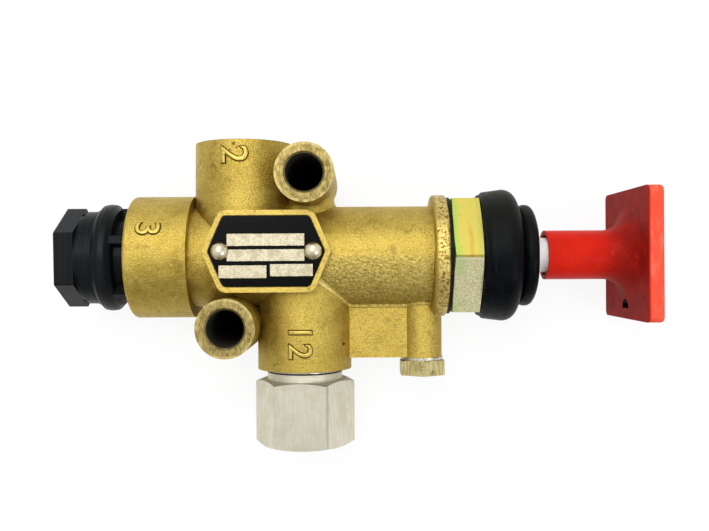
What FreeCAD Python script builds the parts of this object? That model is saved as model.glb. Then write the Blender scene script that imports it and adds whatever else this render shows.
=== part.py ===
"""Push-pull release valve of an air brake: cast brass body, spool, boot and pull knob.

The frame: +X runs along the spool towards the knob, +Y towards the upper port, +Z towards the
front of the nameplate. The origin lies on the spool's axis, at the flange's panel seat.
All sizes are in millimetres.
"""
import FreeCAD, Part
import math
import os
import re

import Sketcher
from FreeCAD import Placement, Rotation, Vector

SIZES = {
    # Barrel and panel neck
    "barrel_r": 12.1,
    "flange_r": 14.8,
    "flange_t": 3.5,
    "flange_round": 0.7,
    "neck_r": 11.0,
    "neck_len": 12.6,
    "neck_chamfer": 0.8,
    "boot_groove_depth": 1.4,
    "boot_groove_w": 2.4,
    "exhaust_face": 75.3,
    "exhaust_boss_r": 14.75,
    "exhaust_boss_len": 14.6,
    "exhaust_boss_round": 0.8,
    # Bores on the main axis
    "spool_bore_r": 7.0,
    "spool_bore_end": 1.3,
    "chamber_r": 9.0,
    "chamber_end": 60.0,
    "vent_bore_r": 11.0,
    "vent_bore_len": 9.8,
    "snap_groove_r": 11.7,
    "snap_groove_w": 2.0,
    "snap_groove_from_face": 5.0,
    "bush_bore_r": 8.0,
    # Ports
    "upper_port_x": 48.9,
    "upper_port_r": 11.8,
    "upper_port_root_r": 12.05,
    "upper_port_top": 27.2,
    "lower_port_x": 34.4,
    "lower_port_r": 11.4,
    "lower_port_end": 27.2,
    "port_thread_r": 7.25,
    "port_thread_depth": 14.0,
    "port_mouth_chamfer": 1.0,
    "passage_r": 2.8,
    # Mounting bosses
    "upper_boss_x": 33.35,
    "upper_boss_y": 18.8,
    "lower_boss_x": 51.3,
    "lower_boss_y": 16.4,
    "mount_boss_r": 6.8,
    "mount_hole_r": 4.25,
    "mount_hole_chamfer": 0.5,
    "mount_boss_front": 17.5,
    "mount_boss_back": 17.0,
    # Web and test boss
    "test_boss_x": 5.7,
    "test_boss_r": 4.85,
    "test_boss_end": 24.6,
    "web_half_t": 3.0,
    "test_hole_r": 2.5,
    "test_hole_depth": 8.0,
    "test_channel_r": 1.2,
    "test_channel_y": 18.5,
    # Nameplate and its pad
    "pad_x": 42.3,
    "pad_y": 1.1,
    "pad_half_len": 14.9,
    "pad_half_h": 9.45,
    "pad_top_half_len": 10.8,
    "pad_front": 13.8,
    "pad_corner_r": 2.4,
    "pad_rim_w": 1.15,
    "pad_recess": 0.6,
    "plate_t": 0.45,
    "plate_gap": 0.15,
    "rivet_pitch": 21.5,
    "rivet_head_r": 2.15,
    "rivet_head_h": 1.3,
    "rivet_shank_r": 0.9,
    "rivet_shank_len": 3.0,
    "rivet_hole_gap": 0.05,
    # Vent insert
    "vent_af": 21.0,
    "vent_corner_r": 12.0,
    "vent_head_t": 4.5,
    "vent_end": 92.2,
    "vent_turn": -2.0,
    "vent_groove_w": 1.2,
    "vent_groove_r": 10.6,
    "vent_drum_r": 11.25,
    "vent_drum_step": 0.35,
    "vent_bead_r": 13.0,
    "vent_bead_from": 83.5,
    "vent_bead_to": 78.8,
    "vent_core_r": 9.3,
    "vent_bore_inner_r": 6.8,
    "vent_rib_r": 11.9,
    "vent_rib_t": 1.9,
    "vent_ribs": 5,
    "vent_rib_first": 20.0,
    "vent_clearance": 0.08,
    "vent_end_wall": 2.4,
    "vent_leg_gap": 1.0,
    # Port adapter
    "adapter_af": 21.0,
    "adapter_turn": 33.0,
    "adapter_ring_t": 0.5,
    "adapter_o_ring_t": 0.4,
    "adapter_o_ring_r": 8.9,
    "adapter_collar_r": 9.1,
    "adapter_collar_len": 1.65,
    "adapter_hex_len": 15.9,
    "adapter_shank_len": 10.0,
    "adapter_bore_r": 4.5,
    "adapter_mouth_depth": 12.0,
    "thread_clearance": 0.06,
    "thread_lead": 0.8,
    "hex_face_inset": 0.3,
    "hex_chamfer_angle": 30.0,
    # Test plug
    "test_washer_r": 5.1,
    "test_washer_t": 0.65,
    "test_plug_af": 10.5,
    "test_plug_t": 3.7,
    "test_plug_shank": 6.0,
    "test_plug_inset": 0.2,
    # Panel washer and nut
    "panel_washer_r": 14.2,
    "panel_washer_t": 0.8,
    "panel_nut_af": 27.0,
    "panel_nut_t": 6.8,
    "nut_thread_gap": 0.05,
    "nut_chamfer_angle": 8.0,
    # Boot
    "boot_start_gap": 0.15,
    "boot_root_r": 14.7,
    "boot_skirt_r": 15.3,
    "boot_skirt_at": 1.0,
    "boot_r": 16.05,
    "boot_widest_at": 5.8,
    "boot_len": 9.2,
    "boot_shoulder_round": 3.3,
    "boot_wall": 1.7,
    "boot_slit": 0.5,
    "boot_slit_r": 8.6,
    "boot_disc_r": 12.35,
    "boot_disc_t": 3.6,
    "boot_disc_round": 1.5,
    "boot_lip_clearance": 0.08,
    # Rod, spool and seals
    "rod_r": 4.225,
    "rod_end": 40.5,
    "rod_chamfer": 0.5,
    "land_clearance": 0.05,
    "rear_land_end": 56.6,
    "land_w": 4.0,
    "front_land_end": 9.5,
    "spool_stem_r": 4.0,
    "spool_tail_r": 3.2,
    "spool_tail_len": 2.5,
    "o_ring_r": 0.85,
    "o_ring_groove_w": 2.1,
    "o_ring_gap": 0.02,
    "bush_end": 10.9,
    "bush_clearance": 0.075,
    "bush_fit": 0.03,
    "rod_seal_x": 4.0,
    "bush_seal_x": 7.0,
    "wiper_t": 1.6,
    "wiper_outer_r": 6.4,
    "circlip_t": 1.0,
    "circlip_depth": 0.7,
    "circlip_inner_r": 7.0,
    # Knob
    "knob_mouth": 24.4,
    "knob_sleeve_r": 6.0,
    "knob_mouth_r": 5.0,
    "knob_mouth_depth": 3.2,
    "knob_fit": 0.03,
    "knob_back": 44.5,
    "knob_plate_t": 3.8,
    "knob_half": 15.75,
    "knob_corner_r": 1.4,
    "knob_edge_round": 0.8,
    "knob_flare_r": 6.0,
    "knob_notch_r": 2.1,
    "knob_notch_y": 13.1,
    "knob_notch_z": -0.4,
    "knob_notch_depth": 2.4,
}

SAME_PLACE = 0.01
SAME_WAY_DEG = 2.0
ALIGNED = math.cos(math.radians(SAME_WAY_DEG))
WALL_SHARE = 0.8

doc = FreeCAD.newDocument("release_valve")
sheet = doc.addObject("Spreadsheet::Sheet", "Sizes")
for row, (alias, size) in enumerate(SIZES.items(), start=1):
    sheet.set(f"A{row}", alias)
    sheet.set(f"B{row}", str(size))
    sheet.setAlias(f"B{row}", alias)
doc.recompute()

TURN = {
    "X": Rotation(),
    "Y": Rotation(Vector(0, 0, 1), 90),
    "-Y": Rotation(Vector(0, 0, 1), -90),
    "Z": Rotation(Vector(0, 1, 0), -90),
}
STAND = {
    "X": Rotation(Vector(0, 1, 0), 90),
    "Y": Rotation(Vector(1, 0, 0), -90),
    "-Y": Rotation(Vector(1, 0, 0), 90),
    "Z": Rotation(),
}


def bound(text):
    """The expression with each size's name pointed at the sheet."""
    return re.sub(
        r"[A-Za-z_]\w*", lambda m: "Sizes." + m.group() if m.group() in SIZES else m.group(), text
    )


def number(text):
    """The value of an expression on the sheet's sizes."""
    return float(sheet.evalExpression(text))


def place(item, at, turn):
    """Sets an object's place, bound to the sheet."""
    item.Placement = Placement(Vector(*(number(v) for v in at)), turn)
    for axis, text in zip("xyz", at):
        item.setExpression(f"Placement.Base.{axis}", bound(text))
    return item


def cylinder(name, radius, length, at=("0", "0", "0"), axis="X"):
    item = doc.addObject("Part::Cylinder", name)
    item.setExpression("Radius", bound(radius))
    item.setExpression("Height", bound(length))
    return place(item, at, STAND[axis])


def box(name, size, at):
    item = doc.addObject("Part::Box", name)
    for side, text in zip(("Length", "Width", "Height"), size):
        item.setExpression(side, bound(text))
    return place(item, at, Rotation())


def hexagon(name, across_flats, length, at=("0", "0", "0"), axis="X", turn="0"):
    """A six-sided bar along its axis, with a corner towards +Z before it is turned."""
    item = doc.addObject("Part::Prism", name)
    item.Polygon = 6
    item.setExpression("Circumradius", bound(f"({across_flats}) / 2 / cos(30)"))
    item.setExpression("Height", bound(length))
    spin = Rotation(Vector(0, 0, 1), number(turn))
    return place(item, at, STAND[axis] * spin)


def fused(name, items):
    item = doc.addObject("Part::MultiFuse", name)
    item.Shapes = items
    return item


def cut(name, base, tool):
    item = doc.addObject("Part::Cut", name)
    item.Base = base
    item.Tool = tool
    return item


def common(name, base, tool):
    item = doc.addObject("Part::MultiCommon", name)
    item.Shapes = [base, tool]
    return item


def origin_plane(body, role):
    return next(f for f in body.Origin.OriginFeatures if f.Role == role)


def profile(body, name, points, plane="XY_Plane"):
    """A closed outline of straight lines whose corners are bound to the sheet."""
    sketch = body.newObject("Sketcher::SketchObject", name)
    sketch.AttachmentSupport = [(origin_plane(body, plane), "")]
    sketch.MapMode = "FlatFace"
    corners = [Vector(number(u), number(v), 0) for u, v in points]
    last = len(corners) - 1
    for i, corner in enumerate(corners):
        sketch.addGeometry(Part.LineSegment(corner, corners[0 if i == last else i + 1]))
    for i in range(len(corners)):
        after = 0 if i == last else i + 1
        sketch.addConstraint(Sketcher.Constraint("Coincident", i, 2, after, 1))
    for i, (u, v) in enumerate(points):
        for kind, text, value in (("DistanceX", u, corners[i].x), ("DistanceY", v, corners[i].y)):
            if text == "0":
                on_axis = -2 if kind == "DistanceX" else -1
                sketch.addConstraint(Sketcher.Constraint("PointOnObject", i, 1, on_axis))
                continue
            k = sketch.addConstraint(Sketcher.Constraint(kind, -1, 1, i, 1, value))
            sketch.setExpression(f"Constraints[{k}]", bound(text))
    return sketch


def turned(name, outline, at=("0", "0", "0"), axis="X"):
    """A lathe-turned body: the outline gives (place along the axis, radius) pairs."""
    body = doc.addObject("PartDesign::Body", name)
    sketch = profile(body, name + "_outline", outline)
    turn = body.newObject("PartDesign::Revolution", name + "_turn")
    turn.Profile = sketch
    turn.ReferenceAxis = (sketch, ["H_Axis"])
    turn.Angle = 360
    sketch.Visibility = False
    return place(body, at, TURN[axis])


def raised(name, outline, height, at=("0", "0", "0")):
    """A body raised along +Z from an outline in its XY plane."""
    body = doc.addObject("PartDesign::Body", name)
    sketch = profile(body, name + "_outline", outline)
    pad = body.newObject("PartDesign::Pad", name + "_pad")
    pad.Profile = sketch
    pad.setExpression("Length", bound(height))
    return place(body, at, Rotation())


def rounded(name, base, radius, chosen):
    """Rounds the edges of base that chosen accepts."""
    doc.recompute()
    item = doc.addObject("Part::Fillet", name)
    item.Base = base
    r = number(radius)
    edges = base.Shape.Edges
    item.Edges = [(i, r, r) for i, e in enumerate(edges, start=1) if chosen(e)]
    if not item.Edges:
        raise RuntimeError(f"{name} found no edge to round")
    return item


def ring_at(x, radius):
    """Chooses the circular edge of this radius about the main axis at this X."""
    x, radius = number(x), number(radius)

    def chosen(edge):
        curve = edge.Curve
        return (
            isinstance(curve, Part.Circle)
            and abs(curve.Radius - radius) < SAME_PLACE
            and abs(curve.Center.x - x) < SAME_PLACE
            and abs(curve.Axis.x) > ALIGNED
        )

    return chosen


def upright(edge):
    """Chooses straight edges that run along Z."""
    return isinstance(edge.Curve, Part.Line) and abs(edge.Curve.Direction.z) > ALIGNED


def along_x(edge):
    """Chooses straight edges that run along X."""
    return isinstance(edge.Curve, Part.Line) and abs(edge.Curve.Direction.x) > ALIGNED


def o_ring(name, centre_r, x):
    """A round-section seal about the main axis."""
    item = doc.addObject("Part::Torus", name)
    item.setExpression("Radius1", bound(centre_r))
    item.setExpression("Radius2", bound("o_ring_r"))
    return place(item, (x, "0", "0"), STAND["X"])


def stretched_hexagon(half_len, top_half_len, half_h):
    """The corners of the nameplate's outline: a hexagon drawn out along X."""
    return [
        (f"-({half_len})", "0"),
        (f"-({top_half_len})", f"-({half_h})"),
        (top_half_len, f"-({half_h})"),
        (half_len, "0"),
        (top_half_len, half_h),
        (f"-({top_half_len})", half_h),
    ]


def inset_pad_outline(inset):
    """The pad's outline moved inwards by the same distance on every side."""
    run = "(pad_half_len - pad_top_half_len)"
    slant = f"sqrt({run} ^ 2 + pad_half_h ^ 2)"
    return stretched_hexagon(
        f"pad_half_len - {inset} * {slant} / pad_half_h",
        f"pad_top_half_len - {inset} * ({slant} - {run}) / pad_half_h",
        f"pad_half_h - {inset}",
    )


def housing():
    """The brass casting with its ports, bosses, web, nameplate pad and machined bores."""
    barrel = turned(
        "barrel",
        [
            ("-exhaust_face", "0"),
            ("-exhaust_face", "exhaust_boss_r"),
            ("-exhaust_face + exhaust_boss_len", "exhaust_boss_r"),
            ("-exhaust_face + exhaust_boss_len", "barrel_r"),
            ("-flange_t", "barrel_r"),
            ("-flange_t", "flange_r"),
            ("0", "flange_r"),
            ("0", "neck_r"),
            ("panel_washer_t + panel_nut_t + boot_start_gap", "neck_r"),
            ("panel_washer_t + panel_nut_t + boot_start_gap", "neck_r - boot_groove_depth"),
            (
                "panel_washer_t + panel_nut_t + boot_start_gap + boot_groove_w",
                "neck_r - boot_groove_depth",
            ),
            ("panel_washer_t + panel_nut_t + boot_start_gap + boot_groove_w", "neck_r"),
            ("neck_len - neck_chamfer", "neck_r"),
            ("neck_len", "neck_r - neck_chamfer"),
            ("neck_len", "0"),
        ],
    )
    soft_boss = rounded(
        "barrel_soft", barrel, "exhaust_boss_round", ring_at("-exhaust_face", "exhaust_boss_r")
    )
    flange_edges = [ring_at("0", "flange_r"), ring_at("-flange_t", "flange_r")]
    flange_wall = "min(flange_r - barrel_r; flange_t / 2)"
    soft_barrel = rounded(
        "flange_soft",
        soft_boss,
        f"min(flange_round; {flange_wall} * {WALL_SHARE})",
        lambda e: any(f(e) for f in flange_edges),
    )
    upper_port = turned(
        "upper_port",
        [
            ("0", "0"),
            ("0", "upper_port_root_r"),
            ("upper_port_top", "upper_port_r"),
            ("upper_port_top", "0"),
        ],
        at=("-upper_port_x", "0", "0"),
        axis="Y",
    )
    lower_port = cylinder(
        "lower_port", "lower_port_r", "lower_port_end", ("-lower_port_x", "0", "0"), "-Y"
    )
    boss_len = "mount_boss_front + mount_boss_back"
    upper_boss = cylinder(
        "upper_boss",
        "mount_boss_r",
        boss_len,
        ("-upper_boss_x", "upper_boss_y", "-mount_boss_back"),
        "Z",
    )
    lower_boss = cylinder(
        "lower_boss",
        "mount_boss_r",
        boss_len,
        ("-lower_boss_x", "-lower_boss_y", "-mount_boss_back"),
        "Z",
    )
    test_boss = cylinder(
        "test_boss", "test_boss_r", "test_boss_end", ("-test_boss_x", "0", "0"), "-Y"
    )
    web = box(
        "web",
        ("lower_port_x - test_boss_x", "test_boss_end", "2 * web_half_t"),
        ("-lower_port_x", "-test_boss_end", "-web_half_t"),
    )
    pad = raised(
        "nameplate_pad",
        stretched_hexagon("pad_half_len", "pad_top_half_len", "pad_half_h"),
        "pad_front",
        ("-pad_x", "pad_y", "0"),
    )
    soft_pad = rounded("pad_soft", pad, "pad_corner_r", upright)
    casting = fused(
        "casting",
        [soft_barrel, upper_port, lower_port, upper_boss, lower_boss, test_boss, web, soft_pad],
    )

    main_bore = turned(
        "main_bore",
        [
            ("-exhaust_face", "0"),
            ("-exhaust_face", "vent_bore_r"),
            ("-exhaust_face + snap_groove_from_face", "vent_bore_r"),
            ("-exhaust_face + snap_groove_from_face", "snap_groove_r"),
            ("-exhaust_face + snap_groove_from_face + snap_groove_w", "snap_groove_r"),
            ("-exhaust_face + snap_groove_from_face + snap_groove_w", "vent_bore_r"),
            ("-exhaust_face + vent_bore_len", "vent_bore_r"),
            ("-exhaust_face + vent_bore_len", "chamber_r"),
            ("-chamber_end", "chamber_r"),
            ("-chamber_end", "spool_bore_r"),
            ("spool_bore_end", "spool_bore_r"),
            ("spool_bore_end", "bush_bore_r"),
            ("bush_end", "bush_bore_r"),
            ("bush_end", "bush_bore_r + circlip_depth"),
            ("bush_end + circlip_t", "bush_bore_r + circlip_depth"),
            ("bush_end + circlip_t", "bush_bore_r"),
            ("neck_len", "bush_bore_r"),
            ("neck_len", "0"),
        ],
    )
    upper_bore = port_bore("upper_bore", "upper_port_top", ("-upper_port_x", "0", "0"), "Y")
    lower_bore = port_bore("lower_bore", "lower_port_end", ("-lower_port_x", "0", "0"), "-Y")
    holes = [
        mounting_hole("upper_hole", "-upper_boss_x", "upper_boss_y"),
        mounting_hole("lower_hole", "-lower_boss_x", "-lower_boss_y"),
    ]
    test_hole = cylinder(
        "test_hole",
        "test_hole_r",
        "test_hole_depth",
        ("-test_boss_x", "-test_boss_end + test_hole_depth", "0"),
        "-Y",
    )
    channel = cylinder(
        "test_channel",
        "test_channel_r",
        "lower_port_x - test_boss_x",
        ("-lower_port_x", "-test_channel_y", "0"),
        "X",
    )
    recess = raised(
        "plate_recess",
        inset_pad_outline("pad_rim_w"),
        "pad_recess",
        ("-pad_x", "pad_y", "pad_front - pad_recess"),
    )
    soft_recess = rounded("recess_soft", recess, "pad_corner_r - pad_rim_w", upright)
    rivet_holes = [rivet_hole(side) for side in (-1, 1)]
    tools = [main_bore, upper_bore, lower_bore, *holes, test_hole, channel, soft_recess, *rivet_holes]
    return cut("housing", casting, fused("machining", tools))


def port_bore(name, rim, at, axis):
    """A threaded port with a chamfered mouth and a passage to the spool bore."""
    return turned(
        name,
        [
            ("0", "0"),
            ("0", "passage_r"),
            (f"{rim} - port_thread_depth", "passage_r"),
            (f"{rim} - port_thread_depth", "port_thread_r"),
            (f"{rim} - port_mouth_chamfer", "port_thread_r"),
            (rim, "port_thread_r + port_mouth_chamfer"),
            (rim, "0"),
        ],
        at=at,
        axis=axis,
    )


def mounting_hole(name, x, y):
    """A clear through hole, chamfered at both ends."""
    back, front = "-mount_boss_back", "mount_boss_front"
    wide = "mount_hole_r + mount_hole_chamfer"
    return turned(
        name,
        [
            (back, "0"),
            (back, wide),
            (f"{back} + mount_hole_chamfer", "mount_hole_r"),
            (f"{front} - mount_hole_chamfer", "mount_hole_r"),
            (front, wide),
            (front, "0"),
        ],
        at=(x, y, "0"),
        axis="Z",
    )


def rivet_hole(side):
    name = "rivet_hole_left" if side < 0 else "rivet_hole_right"
    return cylinder(
        name,
        "rivet_shank_r + rivet_hole_gap",
        "rivet_shank_len + pad_recess",
        (f"-pad_x + {side} * rivet_pitch / 2", "pad_y", "pad_front - pad_recess - rivet_shank_len"),
        "Z",
    )


def nameplate():
    """The thin plate that lies in the pad's recess, with its two rivet holes."""
    blank = raised(
        "plate_blank",
        inset_pad_outline("(pad_rim_w + plate_gap)"),
        "plate_t",
        ("-pad_x", "pad_y", "pad_front - pad_recess"),
    )
    soft = rounded("plate_soft", blank, "pad_corner_r - pad_rim_w", upright)
    holes = [
        cylinder(
            f"plate_hole_{k}",
            "rivet_shank_r + rivet_hole_gap",
            "plate_t",
            (f"-pad_x + {side} * rivet_pitch / 2", "pad_y", "pad_front - pad_recess"),
            "Z",
        )
        for k, side in enumerate((-1, 1))
    ]
    return cut("nameplate", soft, fused("plate_holes", holes))


def rivet(name, side):
    """A drive rivet whose domed head holds the plate."""
    head_radius = number("(rivet_head_r ^ 2 + rivet_head_h ^ 2) / (2 * rivet_head_h)")
    rim = number("rivet_head_r")
    height = number("rivet_head_h")
    shank = number("rivet_shank_r")
    depth = number("rivet_shank_len + plate_t")
    half = math.asin(rim / head_radius) / 2
    on_dome = Vector(head_radius * math.sin(half), 0, head_radius * math.cos(half) + height - head_radius)
    wire = Part.Wire(
        [
            Part.LineSegment(Vector(0, 0, -depth), Vector(shank, 0, -depth)).toShape(),
            Part.LineSegment(Vector(shank, 0, -depth), Vector(shank, 0, 0)).toShape(),
            Part.LineSegment(Vector(shank, 0, 0), Vector(rim, 0, 0)).toShape(),
            Part.Arc(Vector(rim, 0, 0), on_dome, Vector(0, 0, height)).toShape(),
            Part.LineSegment(Vector(0, 0, height), Vector(0, 0, -depth)).toShape(),
        ]
    )
    item = doc.addObject("Part::Feature", name)
    item.Shape = Part.Face(wire).revolve(Vector(), Vector(0, 0, 1), 360)
    at = (
        f"-pad_x + {side} * rivet_pitch / 2",
        "pad_y",
        "pad_front - pad_recess + plate_t",
    )
    return place(item, at, Rotation())


def vent_insert():
    """The moulded exhaust insert: hexagon head, drum, bead and five ribs that snap into the boss."""
    head = hexagon(
        "vent_head", "vent_af", "vent_head_t", ("-vent_end", "0", "0"), "X", "30 - vent_turn"
    )
    head_round = cylinder("vent_head_round", "vent_corner_r", "vent_head_t", ("-vent_end", "0", "0"))
    drum = turned(
        "vent_drum",
        [
            ("-vent_end + vent_head_t", "0"),
            ("-vent_end + vent_head_t", "vent_groove_r"),
            ("-vent_end + vent_head_t + vent_groove_w", "vent_groove_r"),
            ("-vent_end + vent_head_t + vent_groove_w", "vent_drum_r"),
            ("-vent_bead_from - vent_drum_step", "vent_drum_r"),
            ("-vent_bead_from - vent_drum_step", "vent_drum_r + vent_drum_step"),
            ("-vent_bead_from", "vent_drum_r + vent_drum_step"),
            ("-(vent_bead_from * 3 + vent_bead_to) / 4", "vent_bead_r - vent_drum_step / 2"),
            ("-(vent_bead_from + vent_bead_to) / 2", "vent_bead_r"),
            ("-(vent_bead_from + vent_bead_to * 3) / 4", "vent_bead_r - vent_drum_step / 2"),
            ("-vent_bead_to", "vent_drum_r + vent_drum_step"),
            ("-vent_bead_to", "vent_core_r"),
            ("-exhaust_face + vent_bore_len - vent_leg_gap", "vent_core_r"),
            ("-exhaust_face + vent_bore_len - vent_leg_gap", "0"),
        ],
    )
    ribs = [vent_rib(k) for k in range(int(number("vent_ribs")))]
    hollow = cylinder(
        "vent_hollow",
        "vent_bore_inner_r",
        "vent_end - vent_end_wall - exhaust_face + vent_bore_len",
        ("-vent_end + vent_end_wall", "0", "0"),
    )
    outside = fused("vent_outside", [common("vent_hexagon", head, head_round), drum, *ribs])
    return cut("vent_insert", outside, hollow)


def vent_rib(k):
    """One rib: proud in the window, then a leg inside the boss with a snap hook."""
    body = doc.addObject("PartDesign::Body", f"vent_rib_{k}")
    root = "(vent_core_r + vent_bore_inner_r) / 2"
    start = "-(vent_bead_from + vent_bead_to) / 2"
    end = "-exhaust_face + vent_bore_len - vent_leg_gap"
    leg = "vent_bore_r - vent_clearance"
    hook = "-exhaust_face + snap_groove_from_face"
    outline = [
        (start, root),
        (start, "vent_rib_r"),
        ("-exhaust_face", "vent_rib_r"),
        ("-exhaust_face", leg),
        (f"{hook} + vent_clearance", leg),
        (f"{hook} + vent_clearance", "snap_groove_r - vent_clearance"),
        (f"{hook} + snap_groove_w - vent_clearance", leg),
        (end, leg),
        (end, root),
    ]
    sketch = profile(body, f"vent_rib_{k}_outline", outline, "XZ_Plane")
    pad = body.newObject("PartDesign::Pad", f"vent_rib_{k}_pad")
    pad.Profile = sketch
    pad.setExpression("Length", bound("vent_rib_t"))
    pad.Midplane = True
    angle = number("vent_rib_first") + k * 360 / number("vent_ribs")
    return place(body, ("0", "0", "0"), Rotation(Vector(1, 0, 0), -angle))


def port_adapter():
    """The aluminium hexagon adapter screwed into the lower port."""
    seat = "lower_port_end + adapter_ring_t + adapter_o_ring_t"
    hex_start = f"{seat} + adapter_collar_len"
    end = f"{hex_start} + adapter_hex_len"
    at = ("-lower_port_x", "0", "0")
    bar = hexagon(
        "adapter_bar",
        "adapter_af",
        "adapter_hex_len",
        ("-lower_port_x", f"-({hex_start})", "0"),
        "-Y",
        "adapter_turn + 30",
    )
    corner = "adapter_af / 2 / cos(30)"
    face_r = "adapter_af / 2 - hex_face_inset"
    slope = f"({corner} - {face_r}) * tan(hex_chamfer_angle)"
    chamfered = turned(
        "adapter_chamfers",
        [
            (hex_start, "0"),
            (hex_start, face_r),
            (f"{hex_start} + {slope}", corner),
            (f"{end} - {slope}", corner),
            (end, face_r),
            (end, "0"),
        ],
        at=at,
        axis="-Y",
    )
    shank_r = "port_thread_r - thread_clearance"
    shank = turned(
        "adapter_shank",
        [
            ("lower_port_end - adapter_shank_len", "0"),
            ("lower_port_end - adapter_shank_len", f"{shank_r} - thread_lead"),
            ("lower_port_end - adapter_shank_len + thread_lead", shank_r),
            (seat, shank_r),
            (seat, "adapter_collar_r"),
            (f"{hex_start} + adapter_hex_len / 2", "adapter_collar_r"),
            (f"{hex_start} + adapter_hex_len / 2", "0"),
        ],
        at=at,
        axis="-Y",
    )
    bore = turned(
        "adapter_bore",
        [
            ("lower_port_end - adapter_shank_len", "0"),
            ("lower_port_end - adapter_shank_len", "adapter_bore_r"),
            (f"{end} - adapter_mouth_depth", "adapter_bore_r"),
            (f"{end} - adapter_mouth_depth", "port_thread_r"),
            (f"{end} - port_mouth_chamfer", "port_thread_r"),
            (end, "port_thread_r + port_mouth_chamfer"),
            (end, "0"),
        ],
        at=at,
        axis="-Y",
    )
    outside = fused("adapter_outside", [common("adapter_hexagon", bar, chamfered), shank])
    return cut("port_adapter", outside, bore)


def washer(name, outer_r, inner_r, thickness, at, axis):
    """A flat ring that starts at its place and runs along its axis."""
    return turned(
        name,
        [("0", inner_r), ("0", outer_r), (thickness, outer_r), (thickness, inner_r)],
        at=at,
        axis=axis,
    )


def test_plug():
    """The hexagon brass screw that closes the pressure test port."""
    head_at = "test_boss_end + test_washer_t"
    at = ("-test_boss_x", "0", "0")
    bar = hexagon(
        "test_plug_bar",
        "test_plug_af",
        "test_plug_t",
        ("-test_boss_x", f"-({head_at})", "0"),
        "-Y",
        "30",
    )
    corner = "test_plug_af / 2 / cos(30)"
    face_r = "test_plug_af / 2 - test_plug_inset"
    chamfer = turned(
        "test_plug_chamfer",
        [
            (head_at, "0"),
            (head_at, face_r),
            (f"{head_at} + ({corner} - {face_r}) * tan(hex_chamfer_angle)", corner),
            (f"{head_at} + test_plug_t", corner),
            (f"{head_at} + test_plug_t", "0"),
        ],
        at=at,
        axis="-Y",
    )
    shank = cylinder(
        "test_plug_thread",
        "test_hole_r - thread_clearance",
        "test_plug_shank + test_washer_t",
        ("-test_boss_x", "-test_boss_end + test_plug_shank", "0"),
        "-Y",
    )
    return fused("test_plug", [common("test_plug_head", bar, chamfer), shank])


def panel_nut():
    """The hexagon nut on the neck, chamfered on its outer face."""
    at = ("panel_washer_t", "0", "0")
    bar = hexagon("nut_bar", "panel_nut_af", "panel_nut_t", at, "X", "0")
    corner = "panel_nut_af / 2 / cos(30)"
    face_r = "panel_nut_af / 2 - hex_face_inset"
    slope = f"({corner} - {face_r}) * tan(nut_chamfer_angle)"
    chamfers = turned(
        "nut_chamfers",
        [
            ("0", "neck_r + nut_thread_gap"),
            ("0", face_r),
            (slope, corner),
            (f"panel_nut_t - {slope}", corner),
            ("panel_nut_t", face_r),
            ("panel_nut_t", "neck_r + nut_thread_gap"),
        ],
        at=at,
    )
    return common("panel_nut", bar, chamfers)


def boot():
    """The rubber boot: one wide convolution and a disc that closes on the rod."""
    start = "panel_washer_t + panel_nut_t + boot_start_gap"
    end = f"{start} + boot_len"
    disc = f"{end} + boot_slit"
    bead_in = "neck_r - boot_groove_depth + boot_lip_clearance"
    outer = turned(
        "boot_outer",
        [
            (start, bead_in),
            (start, "boot_root_r"),
            (f"{start} + boot_skirt_at", "boot_skirt_r"),
            (f"{start} + boot_widest_at", "boot_r"),
            (end, "boot_r"),
            (end, "boot_slit_r"),
            (disc, "boot_slit_r"),
            (disc, "boot_disc_r"),
            (f"{disc} + boot_disc_t", "boot_disc_r"),
            (f"{disc} + boot_disc_t", "rod_r + boot_lip_clearance"),
            (f"{end} - boot_wall", "rod_r + boot_lip_clearance"),
            (f"{end} - boot_wall", "boot_r - 2 * boot_wall"),
            (f"{start} + boot_groove_w - boot_lip_clearance", "boot_skirt_r - boot_wall"),
            (f"{start} + boot_groove_w - boot_lip_clearance", bead_in),
        ],
    )
    shoulder = rounded("boot_shoulder", outer, "boot_shoulder_round", ring_at(end, "boot_r"))
    disc_edges = [ring_at(disc, "boot_disc_r"), ring_at(f"{disc} + boot_disc_t", "boot_disc_r")]
    return rounded("boot", shoulder, "boot_disc_round", lambda e: any(f(e) for f in disc_edges))


def guide_bush():
    """The bush in the neck that guides the rod and holds its seals."""
    half = "o_ring_groove_w / 2"
    inner, outer = "rod_r + bush_clearance", "bush_bore_r - bush_fit"
    inner_groove = "rod_r + 2 * (o_ring_r + o_ring_gap)"
    outer_groove = "bush_bore_r - 2 * (o_ring_r + o_ring_gap)"
    return turned(
        "guide_bush",
        [
            ("spool_bore_end", inner),
            ("spool_bore_end", outer),
            (f"bush_seal_x - {half}", outer),
            (f"bush_seal_x - {half}", outer_groove),
            (f"bush_seal_x + {half}", outer_groove),
            (f"bush_seal_x + {half}", outer),
            ("bush_end", outer),
            ("bush_end", "wiper_outer_r + bush_fit"),
            ("bush_end - wiper_t", "wiper_outer_r + bush_fit"),
            ("bush_end - wiper_t", inner),
            (f"rod_seal_x + {half}", inner),
            (f"rod_seal_x + {half}", inner_groove),
            (f"rod_seal_x - {half}", inner_groove),
            (f"rod_seal_x - {half}", inner),
        ],
    )


def circlip():
    """The internal retaining ring, open at the bottom where its two ears stand."""
    ring = washer(
        "circlip_ring",
        "bush_bore_r + circlip_depth - bush_fit",
        "circlip_inner_r",
        "circlip_t - bush_fit",
        ("bush_end", "0", "0"),
        "X",
    )
    opening = box(
        "circlip_opening",
        ("circlip_t", "circlip_inner_r", "bush_bore_r"),
        ("bush_end", "-circlip_inner_r / 2", "-2 * bush_bore_r + circlip_inner_r / 2"),
    )
    return cut("circlip", ring, opening)


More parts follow.
